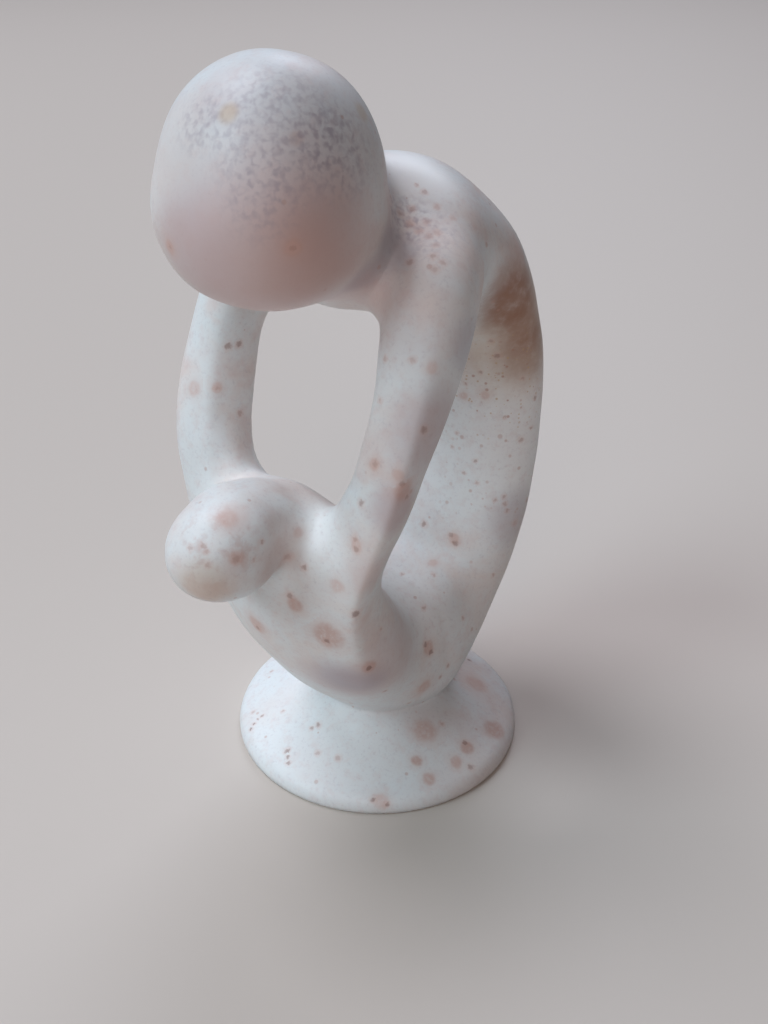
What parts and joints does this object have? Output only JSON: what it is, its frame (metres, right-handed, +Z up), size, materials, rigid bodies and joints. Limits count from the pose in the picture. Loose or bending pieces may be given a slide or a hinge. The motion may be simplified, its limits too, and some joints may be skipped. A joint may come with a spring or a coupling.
{
  "type": "mother and child statue",
  "caption": "Smooth carved stone statue of a bowed mother holding out her child, her arms, lap and back forming an open ring on a round flared foot.",
  "frame": {"origin": "centre of the round foot's flat underside", "axes": "+Z up; -Y is the way the mother faces and holds out the child; +X is her left side"},
  "size_m": [0.054, 0.0781, 0.1244],
  "materials": {
    "soapstone": "satin hand polish, pale pinkish white with rust and mauve specks"
  },
  "bodies": {
    "root": {"mother_and_child_carving": "soapstone"}
  },
  "joints": []
}
